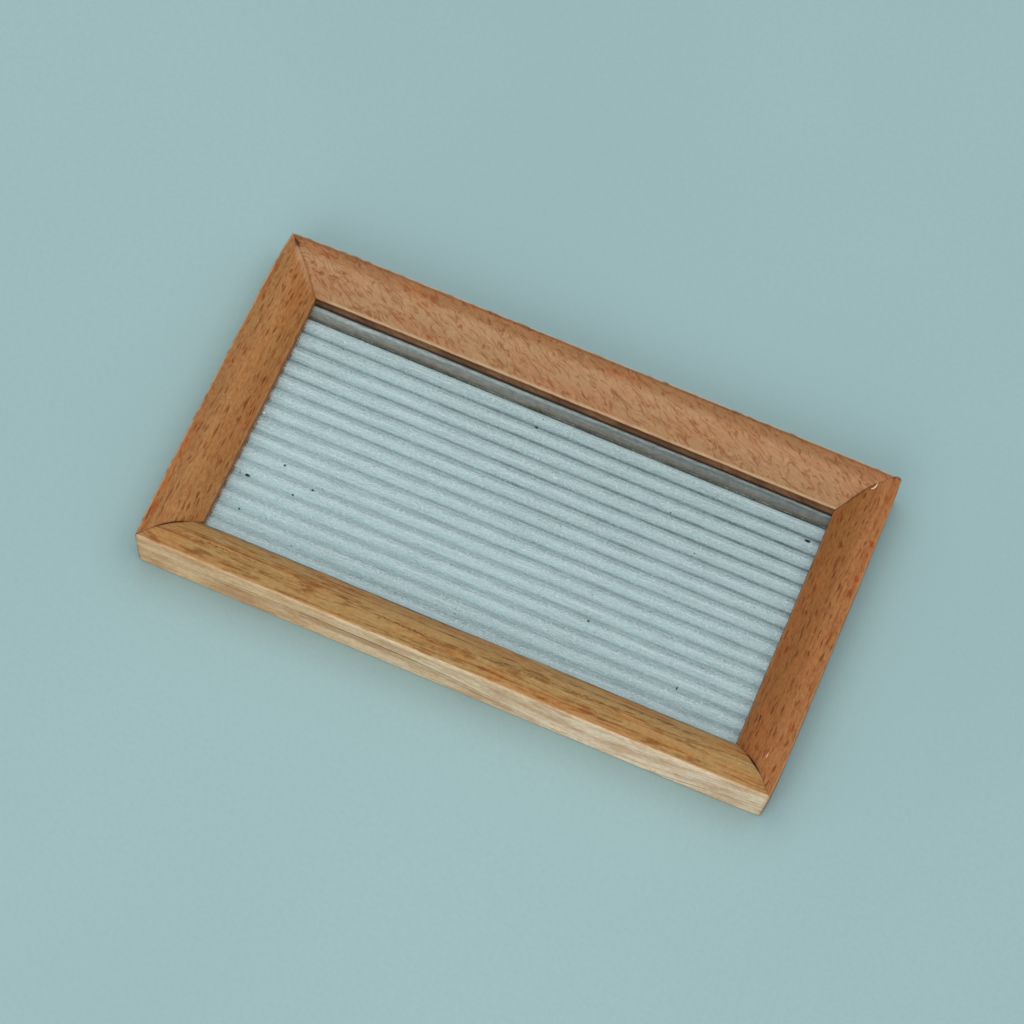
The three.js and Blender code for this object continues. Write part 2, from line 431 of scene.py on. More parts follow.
def wood_figure(n, look, waved, inner, side, fibre, mottle):
    """The wood's colour with its tones, patches, fibres, growth lines and arcs."""
    tone = n.noise(n.stretch(inner, (0.05, 0.22, 0.22)), 1.0, 3.0)
    patch = n.noise(n.stretch(waved, (0.28, 0.75, 0)), 1.0, 3.0, 0.6)
    lines = n.noise(n.stretch(inner, (0.03, 1.5, 1.5)), 1.0, 5.0, 0.65)
    calm = n.math("MULTIPLY_ADD", side, -0.6, 1.0)

    colour = n.mix(n.attribute("band"), look["slope"], look["band"])
    colour = n.mix(side, colour, look["side"])
    colour = n.mix(n.fade(tone, 0.40, 0.68, 0, look["tone"]), colour, look["warm"])
    colour = n.mix(n.fade(patch, 0.48, 0.66, 0, 0.45), colour, PATCH_TINT, "MULTIPLY")
    colour = n.mix(n.fade(mottle, 0.48, 0.66, 0, look["mottle"]), colour, DARK_GRAIN, "MULTIPLY")
    colour = n.mix(n.fade(mottle, 0.50, 0.30, 0, 0.8), colour, LIGHT_GRAIN, "MULTIPLY")
    colour = n.mix(n.fade(fibre, 0.50, 0.72, 0, 0.40), colour, DARK_GRAIN, "MULTIPLY")
    lined = n.times(n.fade(lines, 0.50, 0.62, 0, look["lines"]), calm)
    colour = n.mix(lined, colour, DARK_GRAIN, "MULTIPLY")

    # An arc is a contour line of a noise, where it passes through one half
    place = inner if look.get("long_figure") else waved
    swell = n.noise(n.stretch(place, look["figure"]), 1.0, 2.0, 0.5, 0.6)
    off_contour = n.math("ABSOLUTE", n.math("SUBTRACT", swell, 0.5))
    arcs = n.fade(off_contour, 0.065, 0.005, 0, look["arcs"])
    arcs = n.times(arcs, n.fade(patch, 0.32, 0.58))
    return n.mix(n.times(arcs, calm), colour, ARC_TINT, "MULTIPLY")


def wood_marks(n, look, grain, solid, side, colour):
    """The colour with the marks of its look. All but the pale ones have ragged outlines."""
    ragged = n.noise(n.stretch(grain, (0.9, 1.6, 0)), 1.0, 3.0, 0.6)
    ragged = n.math("MULTIPLY_ADD", ragged, 2.4, -1.2)
    shift = n.join(n.times(ragged, 1.6), ragged, n.times(ragged, 0.4))
    torn = n.vector("ADD", solid, shift)
    for kind, centre, half in look["marks"]:
        mark = n.spot(solid if kind == "pale" else torn, centre, half, 0.7)
        colour = n.mix(mark, colour, MARK_TINTS[kind], "MULTIPLY")
    split = n.add("ShaderNodeSeparateXYZ")
    n.feed(split.inputs[0], torn)
    face = n.join(split.outputs[0], n.math("MULTIPLY_ADD", ragged, -0.3, split.outputs[2]))
    for kind, centre, half in look.get("side_marks", []):
        mark = n.times(n.spot(face, centre, half, 0.7), side)
        colour = n.mix(mark, colour, MARK_TINTS[kind], "MULTIPLY")
    return colour


def wood_flecks(n, look, waved, side):
    """How strong the ray flecks are: layers of scattered dashes, weaker on the outer side."""
    flecks = 0.0
    for cell, half, share, strength in look["flecks"]:
        layer = n.times(n.dashes(waved, cell, half, share), strength)
        flecks = n.math("MAXIMUM", flecks, layer)
    return n.times(flecks, n.math("MULTIPLY_ADD", side, -0.8, 1.0))


def beech_material(name, look):
    """Beech seen along its length, with its figure, marks, flecks, worn edges with a painted highlight,
    and dirt with painted shade.

    Two attributes are coordinates in millimetres. grain: along and across the surface, turned to
    the flecks. solid: along, inset and height. The others are strengths from 0 to 1.
    """
    n = Nodes(name)
    grain = n.attribute("grain", "Vector")
    solid = n.attribute("solid", "Vector")
    side = n.attribute("side")

    sway = n.noise(n.stretch(grain, (0.22, 0.45, 0)), 1.0, 2.0)
    sway = n.math("MULTIPLY_ADD", sway, look["sway"], -look["sway"] / 2)
    waved = n.vector("ADD", grain, n.join(n.times(sway, 0.3), sway))
    drift = n.times(sway, 0.4)
    inner = n.vector("ADD", solid, n.join(0.0, drift, drift))
    fibre = n.noise(n.stretch(waved, (0.55, 4.2, 0)), 1.0, 3.0, 0.6)
    mottle = n.noise(n.stretch(waved, (0.75, 1.5, 0)), 1.0, 4.0, 0.72)

    colour = wood_figure(n, look, waved, inner, side, fibre, mottle)
    colour = wood_marks(n, look, grain, solid, side, colour)
    flecks = wood_flecks(n, look, waved, side)
    colour = n.mix(flecks, colour, FLECK_TINT, "MULTIPLY")
    # Wear with a painted highlight along the crease and the inner arris
    colour = n.mix(n.times(n.attribute("wear_and_highlight"), 0.85), colour, WORN_WOOD_AND_HIGHLIGHT)
    # Dirt with painted shade in the groove and along edges
    colour = n.mix(n.times(n.attribute("dirt_and_shade"), 0.95), colour, WOOD_DIRT_AND_SHADE)
    n.set("Base Color", colour)
    n.set("Roughness", n.fade(fibre, 0.2, 0.8, 0.46, 0.66))
    n.set("Specular IOR Level", 0.25)
    height = n.math("SUBTRACT", n.times(fibre, 0.45), n.times(flecks, 0.5))
    height = n.math("MULTIPLY_ADD", mottle, 0.8, height)
    n.set("Normal", n.bump(height, 0.7, 0.00018))
    return n.material


def splinter_material():
    """Freshly torn beech, paler than the worn wood."""
    n = Nodes("torn_beech")
    fibre = n.noise(n.stretch(n.stretch(n.place(), TO_MM), (3.0, 1.2, 2.0)), 1.0, 3.0)
    n.set("Base Color", n.mix(fibre, TORN_WOOD_DARK, TORN_WOOD_LIGHT))
    n.set("Roughness", 0.6)
    n.set("Normal", n.bump(fibre, 0.4, 0.00005))
    return n.material


# The glass, what its shadow keeps of the light, and the film, scuffs and dust on it; the film carries
# painted shade and light too, the scuffs painted highlights
GLASS = srgb(247, 249, 250)
GLASS_SHADOW = (0.94, 0.96, 0.97, 1)
DARK_DIRT_AND_SHADE = srgb(48, 60, 64)
PALE_DIRT_AND_PAINTED_LIGHT = srgb(224, 236, 229)
SILT_AND_REFLECTION_TINT = (1.0, 0.76, 0.60)
SCUFFS_AND_HIGHLIGHTS = srgb(224, 237, 238)
DUST = srgb(34, 30, 26)

# Bigger specks on the glass, dark and pale, in millimetres: middle, half sizes
SPECKS = [
    ((-63.5, -16.2), (0.80, 0.36)), ((-47.9, -13.4), (0.42, 0.38)), ((-56.5, -10.2), (0.34, 0.40)),
    ((-6.0, 25.3), (0.50, 0.42)), ((64.4, 24.5), (0.95, 0.50)), ((24.4, -17.6), (0.33, 0.46)),
    ((-61.7, -25.2), (0.28, 0.44)), ((49.7, -25.0), (0.22, 0.70)), ((-51.7, -16.4), (0.34, 0.30)),
]
PALE_SPECKS = [((-66.7, 0.9), (0.5, 0.3)), ((66.8, -11.4), (0.4, 0.3)), ((3.2, 14.3), (0.9, 0.2))]


def glass_dust(n, flat):
    """Dark specks: small scattered ones and the bigger ones."""
    dust = n.dashes(flat, (4.6, 3.6), (0.22, 0.18), 0.30)
    for centre, half in SPECKS:
        dust = n.math("MAXIMUM", dust, n.spot(flat, centre, half, 0.3))
    return dust


def glass_scuffs_and_highlights(n, place, flat, dirt_and_painted_light_layer):
    """Pale haze, streaks, painted sparkle, scratches and a painted highlight along each rib's crest,
    weaker under the dirt layer, and specks.
    """
    haze = n.fade(n.noise(n.stretch(place, (0.5, 0.9, 0)), 1.0, 5.0, 0.75), 0.42, 0.68, 0.0, 0.26)
    streaks = n.noise(n.stretch(place, (0.07, 2.0, 0)), 1.0, 4.0, 0.6)
    streaks = n.fade(streaks, 0.44, 0.66, 0.0, 0.32)
    # Painted sparkle: pale patches that stand for glints of light
    painted_sparkle = n.fade(n.noise(n.stretch(place, (1.4, 2.4, 0)), 1.0, 2.0), 0.46, 0.68, 0.0, 0.42)
    scratches = n.dashes(n.vector("ADD", flat, (40, 70, 0)), (7.0, 2.4), (1.5, 0.10), 0.35)
    pale = n.math("MAXIMUM", n.math("MAXIMUM", haze, streaks), n.times(scratches, 0.35))
    pale = n.math("MAXIMUM", pale, painted_sparkle)
    # A painted highlight along each rib's crest
    pale = n.math("MULTIPLY_ADD", n.attribute("painted_crest_highlight"), 0.11, pale, clamp=True)
    pale = n.times(pale, n.math("MULTIPLY_ADD", dirt_and_painted_light_layer, -0.85, 1.0))
    for centre, half in PALE_SPECKS:
        pale = n.math("MAXIMUM", pale, n.spot(flat, centre, half, 0.6))
    return pale


def glass_material():
    """Clear glass under dirt with painted shade and light, scuffs with painted highlights, and dust. Its
    shadow on the table stays pale.
    """
    n = Nodes("ribbed_glass")
    place = n.stretch(n.place(), TO_MM)
    flat = n.vector("MULTIPLY", place, (1, 1, 0))
    upper = n.attribute("upper")
    smear = n.noise(n.stretch(place, (0.03, 0.06, 0.06)), 1.0, 4.0, 0.6)
    n.set("Base Color", GLASS)
    n.set("Transmission Weight", 1.0)
    n.set("IOR", 1.5)
    n.set("Roughness", n.fade(smear, 0.3, 0.8, 0.03, 0.12))

    ripple = n.fade(n.noise(n.stretch(place, (0.10, 0.9, 0)), 1.0, 3.0, 0.6), 0.35, 0.65, 1.0, 0.75)
    # A layer of dirt, painted shade and painted light
    dirt_and_painted_light_layer = n.math("MULTIPLY", n.attribute("dirt_and_painted_light_layer"), ripple, clamp=True)
    smudge = n.noise(n.stretch(n.vector("ADD", flat, (90, 20, 0)), (0.05, 1.5, 0)), 1.0, 4.0, 0.6)
    dirt_and_painted_light_layer = n.math("ADD", dirt_and_painted_light_layer, n.fade(smudge, 0.50, 0.68, 0.0, 0.10), clamp=True)
    pale = n.times(glass_scuffs_and_highlights(n, place, flat, dirt_and_painted_light_layer), upper)
    dust = n.times(glass_dust(n, flat), upper)

    blotch = n.noise(n.stretch(place, (0.5, 1.6, 0)), 1.0, 4.0, 0.7)
    # How light that layer is: dark for dirt and painted shade, pale for painted light
    tone = n.times(n.attribute("dirt_and_painted_light_tone"), n.fade(blotch, 0.3, 0.7, 0.70, 1.25))
    colour = n.mix(tone, DARK_DIRT_AND_SHADE, PALE_DIRT_AND_PAINTED_LIGHT)
    # Brown tint: silt and a painted reflection of the back rail's wall
    colour = n.mix(n.attribute("silt_and_wall_reflection"), colour, SILT_AND_REFLECTION_TINT, "MULTIPLY")
    pale_share = n.math("DIVIDE", pale, n.math("ADD", n.math("ADD", pale, dirt_and_painted_light_layer), 0.001))
    colour = n.mix(pale_share, colour, SCUFFS_AND_HIGHLIGHTS)
    colour = n.mix(dust, colour, DUST)
    bare = n.times(n.math("SUBTRACT", 1.0, dirt_and_painted_light_layer), n.math("SUBTRACT", 1.0, pale))
    cover = n.math("MAXIMUM", n.math("SUBTRACT", 1.0, bare), n.times(dust, 0.95))

    layer = n.add("ShaderNodeBsdfDiffuse")
    n.feed(layer.inputs["Color"], colour)
    dirty_glass = n.mix_shaders(cover, n.shader.outputs[0], layer.outputs[0])
    clear = n.add("ShaderNodeBsdfTransparent")
    clear.inputs["Color"].default_value = GLASS_SHADOW
    for_shadow = n.add("ShaderNodeLightPath").outputs["Is Shadow Ray"]
    surface = n.mix_shaders(for_shadow, dirty_glass, clear.outputs[0])
    n.feed(n.output.inputs["Surface"], surface)
    return n.material


def steel_material():
    """Dull darkened steel with some rust."""
    n = Nodes("brad_steel")
    rust = n.noise(n.place(), 2500.0, 3.0)
    n.set("Base Color", n.mix(rust, srgb(95, 88, 82), srgb(70, 48, 36)))
    n.set("Metallic", 0.85)
    n.set("Roughness", n.fade(rust, 0.3, 0.7, 0.35, 0.7))
    return n.material


# -------- mesh helpers


def make_mesh(name, vertices, faces, sharp_angle):
    """A smooth mesh with its faces turned out and sharp edges above an angle in degrees."""
    mesh = bpy.data.meshes.new(name)
    mesh.from_pydata(vertices, [], faces)
    tidy = bmesh.new()
    tidy.from_mesh(mesh)
    bmesh.ops.recalc_face_normals(tidy, faces=tidy.faces)
    tidy.to_mesh(mesh)
    tidy.free()
    for face in mesh.polygons:
        face.use_smooth = True
    mesh.set_sharp_from_angle(angle=math.radians(sharp_angle))
    return mesh


def add_values(mesh, name, values):
    field = mesh.attributes.new(name, "FLOAT", "POINT")
    field.data.foreach_set("value", np.array(values, np.float32))


def add_vectors(mesh, name, vectors):
    field = mesh.attributes.new(name, "FLOAT_VECTOR", "POINT")
    field.data.foreach_set("vector", np.array(vectors, np.float32).ravel())


def place_piece(mesh, material, replaced=None):
    """Puts a mesh on the board as a piece, in the place of a CAD node if one is named."""
    mesh.materials.append(material)
    piece = bpy.data.objects.new(mesh.name, mesh)
    bpy.context.scene.collection.objects.link(piece)
    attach(piece, "root")
    if replaced:
        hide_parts(replaced)


def bezier(points, steps):
    """Points of a Bezier curve or a line, without its first point."""
    out = []
    for i in range(1, steps + 1):
        t = i / steps
        rest = [Vector(p) for p in points]
        while len(rest) > 1:
            rest = [a.lerp(b, t) for a, b in zip(rest, rest[1:])]
        out.append(tuple(rest[0]))
    return out


def smooth(low, high, value):
    """A smooth step from 0 at low to 1 at high."""
    t = min(max((value - low) / (high - low), 0.0), 1.0)
    return t * t * (3 - 2 * t)


def hump(distance, reach):
    """1 at no distance, falling away like a bell."""
    return math.exp(-((distance / reach) ** 2))


# -------- rails


# Each rail: its turn about Z and the slant of its flecks, in degrees, its length, the seed of its
# noises, and the corners at its two ends
Rail = namedtuple("Rail", "turn length fleck_angle seed low_corner high_corner")
RAILS = {
    "front_rail": Rail(0, BOARD_LENGTH, 0, 11, "front_left", "front_right"),
    "right_rail": Rail(90, BOARD_WIDTH, 0, 23, "front_right", "back_right"),
    "back_rail": Rail(180, BOARD_LENGTH, 27, 37, "back_right", "back_left"),
    "left_rail": Rail(-90, BOARD_WIDTH, 0, 53, "back_left", "front_left"),
}

# Each corner, in millimetres: how far its long and short sides are worn in and how far along, how
# much more at the foot, how far the joint strays towards the long rail, and its open places as
# (inset, reach, width)
Corner = namedtuple("Corner", "long short reach foot stray open")
CORNERS = {
    "front_left": Corner(0.20, 0.30, 5.0, 1.7, 0.0, [(6.6, 2.6, 0.20), (0.0, 0.9, 0.10)]),
    "front_right": Corner(0.25, 0.50, 4.0, 0.7, 0.0, [(7.0, 1.7, 0.26)]),
    "back_right": Corner(0.10, 0.28, 6.0, 0.4, 1.1, [(0.4, 0.8, 0.16), (9.5, 2.5, 0.04)]),
    "back_left": Corner(0.60, 0.80, 7.0, 0.4, 0.0, [(2.6, 0.85, 0.52), (6.0, 3.0, 0.015)]),
}

# Half of a closed joint, and how far below the surface its opening and its stray fade out
JOINT_GAP = 0.03 * MM
OPENING_DEPTH = (0.8 * MM, 2.4 * MM)
STRAY_DEPTH = (0.4 * MM, 1.2 * MM)

# How pale each rail's crease and inner arris are, worn and with a painted highlight, and how far the
# crease's pale line reaches, in millimetres
CREASE_WEAR_AND_HIGHLIGHT = {"back_rail": (0.95, 0.50), "front_rail": (0.30, 0.40), "left_rail": (0.80, 0.34),
               "right_rail": (0.40, 0.30)}
ARRIS_WEAR_AND_HIGHLIGHT = {"back_rail": 1.0, "front_rail": 0.9, "left_rail": 0.15, "right_rail": 0.15}

# How often chips, fine nicks and dents come, in turns of their noises per metre
CHIP_RATE = 180
NICK_RATE = 520
DENT_RATES = (70, 300, 200)


def rail_section():
    """Closed outline of the moulding from the outer foot, as (inset, height)."""
    inner, wall = RAIL_WIDTH, RAIL_WIDTH - GROOVE_DEPTH
    floor, roof = PANE_LOW.z - GLASS_PLAY, PANE_HIGH.z + GLASS_PLAY
    soft = ARRIS_SOFTENING
    corners = [(FOOT_EASE, 0), (inner, 0), (inner, floor), (wall, floor), (wall, roof),
               (inner, roof), (inner, ARRIS_HEIGHT - soft)]
    points = [corners[0]]
    for start, end, steps in zip(corners, corners[1:], (6, 2, 3, 2, 3, 4)):
        points += bezier([start, end], steps)
    points += bezier([(inner, ARRIS_HEIGHT - soft), (inner, ARRIS_HEIGHT),
                      (inner - soft, ARRIS_HEIGHT + soft)], 4)
    points += bezier([(inner - soft, ARRIS_HEIGHT + soft), (inner - 2.8 * MM, ARRIS_HEIGHT + 3 * MM),
                      (RIDGE_INSET + 2.6 * MM, RAIL_HEIGHT), (RIDGE_INSET, RAIL_HEIGHT)], 28)
    points += bezier([(RIDGE_INSET, RAIL_HEIGHT), (RIDGE_INSET / 2, RAIL_HEIGHT),
                      (CREASE_RADIUS, CREASE_HEIGHT)], 9)
    points += bezier([(CREASE_RADIUS, CREASE_HEIGHT), (0, CREASE_HEIGHT),
                      (0, CREASE_HEIGHT - CREASE_RADIUS)], 5)
    points += bezier([(0, CREASE_HEIGHT - CREASE_RADIUS), (0, FOOT_EASE)], SIDE_ROWS)
    return points


def stations(length):
    """Fractions from -1 to 1 along a rail, closer together at its two ends."""
    half = length / 2
    near = [0.0, 0.08 * MM, 0.25 * MM, 0.6 * MM, 1.1 * MM]
    even_from = 1.6 * MM
    even = list(np.linspace(even_from, half, round((half - even_from) / RAIL_STEP)))
    right = [1 - d / half for d in near + even]
    return sorted({round(v, 9) for v in right + [-v for v in right]})


def corner_wear(corner, inset, height):
    """How far a corner's long and short sides are worn in at one inset and height."""
    outer = 1 - smooth(0, 5 * MM, inset)
    foot = corner.foot * (1 - height / RAIL_HEIGHT)
    return corner.long * outer * MM, (corner.short + foot) * outer * MM


def below_surface(inset, height):
    """About how far a point lies below the moulding's upper surface."""
    slope = max(inset - RIDGE_INSET, 0.0) / (RAIL_WIDTH - RIDGE_INSET)
    return RAIL_HEIGHT - (RAIL_HEIGHT - ARRIS_HEIGHT) * slope ** 1.3 - height


def joint_width(corner, inset, height):
    """How wide the joint stands open: only near the surface."""
    near_top = 1 - smooth(*OPENING_DEPTH, below_surface(inset, height))
    return near_top * sum(w * MM * hump(inset - u * MM, reach * MM) for u, reach, w in corner.open)


def joint_stray(corner, inset, height):
    """How far the joint lies towards the long rail at one inset of that rail: only at the top."""
    near_top = 1 - smooth(*STRAY_DEPTH, below_surface(inset, height))
    return corner.stray * MM * near_top * (1 - smooth(5 * MM, RAIL_WIDTH, inset))


def joint_inset(corner, inset, height, is_long):
    """The long rail's inset at the point where its end meets this one, found step by step.

    It is below zero where a short rail's end lies bare at the board's long side.
    """
    met = inset
    for _ in range(0 if is_long else 12):
        met = inset - joint_stray(corner, max(met, 0.0), height)
    return met


def worn(name, t, inset, height, chip, nick, from_end):
    """How pale the wood is at one point: worn with a painted highlight at its edges, and worn beside the
    back left joint.
    """
    point = (inset, height)
    strength, reach = CREASE_WEAR_AND_HIGHLIGHT[name]
    # The pale lines along the crease and the inner arris are wear and a painted highlight
    crease = strength * hump(math.dist(point, (0.1 * MM, CREASE_HEIGHT)), reach * MM)
    inward, upward = (0.45, 0.4) if name == "back_rail" else (0.2, 0.15)
    arris_line = (RAIL_WIDTH - inward * MM, ARRIS_HEIGHT + upward * MM)
    arris = ARRIS_WEAR_AND_HIGHLIGHT[name] * hump(math.dist(point, arris_line), 0.32 * MM)
    wear_and_highlight = max(crease * smooth(0.15, 0.55, nick), arris * smooth(0.15, 0.45, chip))
    if name == "left_rail" and t < 0:
        beside = hump(from_end - 1.2 * MM, 1.1 * MM) * smooth(2.5 * MM, 4.5 * MM, inset)
        wear_and_highlight = max(wear_and_highlight, 0.28 * beside * (1 - smooth(9 * MM, 12 * MM, inset)))
    return wear_and_highlight


def groove_dirt_and_shade(name, inset, height, chip):
    """How dark the dirt and painted shade are in the groove and on the wall above the glass."""
    in_groove = inset > RAIL_WIDTH - GROOVE_DEPTH - 0.1 * MM and 0.2 * MM < height < ARRIS_HEIGHT
    above_glass = height > PANE_HIGH.z + 0.4 * MM
    if not in_groove:
        return 0.0
    # Painted shade as well as dirt: the groove and the wall above the glass, darkest on the back rail
    if name != "back_rail":
        return 0.22 if above_glass else 0.25
    if not above_glass:
        return 0.95
    return 0.95 - 0.25 * smooth(0.35, 0.7, chip) - 0.30 * hump(height - 4.9 * MM, 0.5 * MM)


def edge_dirt_and_shade(name, inset, height, along, chip, from_end):
    """How dark the dirt is beside the back rail's crease, and the dirt and painted shade at the front
    rail's inner arris.
    """
    point = (inset, height)
    if name == "back_rail":
        return 0.6 * hump(math.dist(point, (1.0 * MM, CREASE_HEIGHT)), 0.32 * MM)
    if name != "front_rail":
        return 0.0
    # Painted shade: a dark line on the front rail's slope above its inner arris, and dirt with painted
    # shade at the arris
    slope = hump(math.dist(point, (RAIL_WIDTH - 1.3 * MM, ARRIS_HEIGHT + 1.2 * MM)), 0.4 * MM)
    edge = hump(math.dist(point, (RAIL_WIDTH - 0.65 * MM, ARRIS_HEIGHT + 0.65 * MM)), 0.55 * MM)
    leftward = 0.75 - 0.65 * smooth(-20 * MM, 50 * MM, along)
    end = (inset < 0.5 * MM) * math.exp(-from_end / (0.3 * MM))
    return max(0.6 * slope * smooth(0.3, 0.6, chip), leftward * edge * smooth(0.2, 0.5, chip), 0.6 * end)


def soiled_and_shaded(name, inset, height, along, chip, from_end, open_by):
    """How dark the wood is painted at one point: dirt at the joint, dirt and painted shade in the groove
    and along an edge.
    """
    seam = 0.20 + 0.80 * smooth(0, 0.12 * MM, open_by)
    joint = seam * math.exp(-from_end / (0.12 * MM + 0.6 * open_by))
    return max(joint, groove_dirt_and_shade(name, inset, height, chip),
               edge_dirt_and_shade(name, inset, height, along, chip, from_end))


def rail_point(name, t, inset, height):
    """One point of a rail before it is turned, with what the wood looks like there.

    t goes from -1 to 1 along the rail. The point is the distance along the rail from its middle,
    the inset from its outer side, and the height.
    """
    rail = RAILS[name]
    is_long = rail.length == BOARD_LENGTH
    corner = CORNERS[rail.high_corner if t > 0 else rail.low_corner]
    mitre = rail.length / 2 - inset
    from_end = mitre * (1 - abs(t))
    along = t * mitre
    met = joint_inset(corner, inset, height, is_long)
    long_wear, short_wear = corner_wear(corner, max(met, 0.0), height)
    own, other = (long_wear, short_wear) if is_long else (short_wear, long_wear)
    stray = joint_stray(corner, met, height) if is_long else 0.0
    open_by = joint_width(corner, max(met, 0.0), height)
    bared = smooth(0, 0.35 * MM, -met)
    end = rail.length / 2 - max(met + other + stray, 0.0)
    end -= JOINT_GAP + open_by / 2 + 0.12 * MM * bared

    chip = 0.5 + 0.5 * noise.noise(Vector((along * CHIP_RATE, rail.seed * 3.1, 0.5)))
    nick = 0.5 + 0.5 * noise.noise(Vector((along * NICK_RATE, rail.seed * 1.7, 4.5)))
    along_rate, in_rate, up_rate = DENT_RATES
    dent = noise.noise(Vector((along * along_rate, inset * in_rate, rail.seed + height * up_rate)))
    at_arris = hump(math.dist((inset, height), (RAIL_WIDTH, ARRIS_HEIGHT)), 0.9 * MM)
    at_crease = hump(math.dist((inset, height), (0, CREASE_HEIGHT)), 0.6 * MM)
    at_side = 1 - smooth(0, 0.6 * MM, inset)

    u = inset + own * math.exp(-from_end / (corner.reach * MM))
    u += at_side * (0.05 + 0.05 * dent + 0.07 * chip * (not is_long)) * MM
    u -= at_arris * (0.30 * chip + 0.10 * nick) * (1.0 if is_long else 0.3) * MM
    u += at_crease * 0.20 * nick * chip * MM
    z = height
    if height > ARRIS_HEIGHT + 0.5 * MM:
        z += (0.05 * dent - 0.06) * MM
        z -= (0.05 * MM + 0.5 * open_by) * math.exp(-from_end / (0.20 * MM))
    z -= 0.50 * MM * bared * math.exp(-from_end / (0.40 * MM))
    z -= at_arris * 0.10 * chip * MM
    z -= at_crease * (0.05 + 0.22 * chip * nick) * MM

    return t * end, u, z, {
        "wear_and_highlight": worn(name, t, inset, height, chip, nick, from_end),
        "dirt_and_shade": soiled_and_shaded(name, inset, height, along, chip, from_end, open_by),
        "side": at_side,
        "band": 1 - smooth(RIDGE_INSET - 1.2 * MM, RIDGE_INSET + 1.4 * MM, inset),
    }


class RailPoints:
    """The points of one rail before it is turned, and what its material reads at each."""

    def __init__(self, name):
        self.rail = RAILS[name]
        self.line_bow = 6.5 if name == "front_rail" else 0.0
        self.places, self.grain, self.solid = [], [], []
        self.looks = {"wear_and_highlight": [], "dirt_and_shade": [], "side": [], "band": []}

    def add(self, s, u, z, run, look):
        """A point from its distance along, inset and height, and the way round the section."""
        tilt = math.radians(self.rail.fleck_angle)
        seed = self.rail.seed
        a, c = s / MM, run / MM
        self.places.append((s, u, z))
        self.grain.append((a * math.cos(tilt) + c * math.sin(tilt) + seed * 17,
                           -a * math.sin(tilt) + c * math.cos(tilt) + seed * 5, 0))
        self.solid.append((a, u / MM, z / MM + look["side"] * self.line_bow * hump(a - 38, 30)))
        for key, values in self.looks.items():
            values.append(look[key])
        return len(self.places) - 1

    def turned(self):
        """The places on the rail's own side of the board."""
        outward = (BOARD_WIDTH if self.rail.length == BOARD_LENGTH else BOARD_LENGTH) / 2
        turn = math.radians(self.rail.turn)
        cosine, sine = math.cos(turn), math.sin(turn)
        return [(s * cosine - (u - outward) * sine, s * sine + (u - outward) * cosine, z)
                for s, u, z in self.places]


def recess_hole(points, section, rings, brad_s):
    """The cells of the outer side over one brad, the rim of points round them and its column."""
    count = len(section)
    first = count - 1 - SIDE_ROWS
    rows = [i for i in range(rings) if abs(points.places[i * count + first][0] - brad_s) < RECESS_REACH]
    columns = [j for j in range(first, count) if abs(section[j][1] - BRAD_HEIGHT) < RECESS_REACH]
    cells = {(i, j) for i in rows[:-1] for j in columns[:-1]}
    rim = [i * count + columns[0] for i in rows]
    rim += [rows[-1] * count + j for j in columns[1:]]
    rim += [i * count + columns[-1] for i in reversed(rows[:-1])]
    rim += [rows[0] * count + j for j in reversed(columns[1:-1])]
    return cells, rim, columns[len(columns) // 2]


def add_recess(points, rim, brad_s, run):
    """A round recess for a brad's head inside a rim of points: its new faces."""
    bare = {"wear_and_highlight": 0.0, "dirt_and_shade": 0.25, "side": 1.0, "band": 0.0}
    # Inside the recess the wood is painted darker
    dark = dict(bare, dirt_and_shade=0.75)
    loops = [rim]
    for radius, sunk, look in ((RECESS_MOUTH, 0.0, bare), (RECESS_RADIUS, 0.12 * MM, dark),
                               (RECESS_RADIUS, RECESS_DEPTH, dark)):
        loop = []
        for index in rim:
            s, u, z = points.places[index]
            angle = math.atan2(z - BRAD_HEIGHT, s - brad_s)
            inset = u + sunk if sunk < RECESS_DEPTH else RECESS_DEPTH
            loop.append(points.add(brad_s + radius * math.cos(angle), inset,
                                   BRAD_HEIGHT + radius * math.sin(angle), run, look))
        loops.append(loop)
    middle = points.add(brad_s, RECESS_DEPTH, BRAD_HEIGHT, run, dark)
    faces = []
    for outer, inner in zip(loops, loops[1:]):
        for k in range(len(rim)):
            m = (k + 1) % len(rim)
            faces.append((outer[k], outer[m], inner[m], inner[k]))
    for k in range(len(rim)):
        faces.append((loops[-1][k], loops[-1][(k + 1) % len(rim)], middle))
    return faces


def build_rail(name, material):
    """A rail as rings of its section, with a recess over each brad of an end rail."""
    section = rail_section()
    count = len(section)
    round_section = [0.0]
    for a, b in zip(section, section[1:]):
        round_section.append(round_section[-1] + math.dist(a, b))
    length = RAILS[name].length
    along = stations(length)
    rings = len(along)
    points = RailPoints(name)
    for t in along:
        for (inset, height), run in zip(section, round_section):
            s, u, z, look = rail_point(name, t, inset, height)
            points.add(s, u, z, run, look)

    holes = set()
    faces = []
    for brad_s in (-BRAD_ALONG, BRAD_ALONG) if length == BOARD_WIDTH else ():
        cells, rim, column = recess_hole(points, section, rings, brad_s)
        holes |= cells
        faces += add_recess(points, rim, brad_s, round_section[column])
    for i in range(rings - 1):
        for j in range(count):
            if (i, j) not in holes:
                k = (j + 1) % count
                faces.append((i * count + j, i * count + k, (i + 1) * count + k, (i + 1) * count + j))
    for a, b, c in tessellate_polygon([[Vector((u, z, 0)) for u, z in section]]):
        faces.append((a, b, c))
        faces.append(tuple((rings - 1) * count + v for v in (a, c, b)))

    mesh = make_mesh(name + "_wood", points.turned(), faces, 38)
    add_vectors(mesh, "grain", points.grain)
    add_vectors(mesh, "solid", points.solid)
    for key, values in points.looks.items():
        add_values(mesh, key, values)
    place_piece(mesh, material, name)


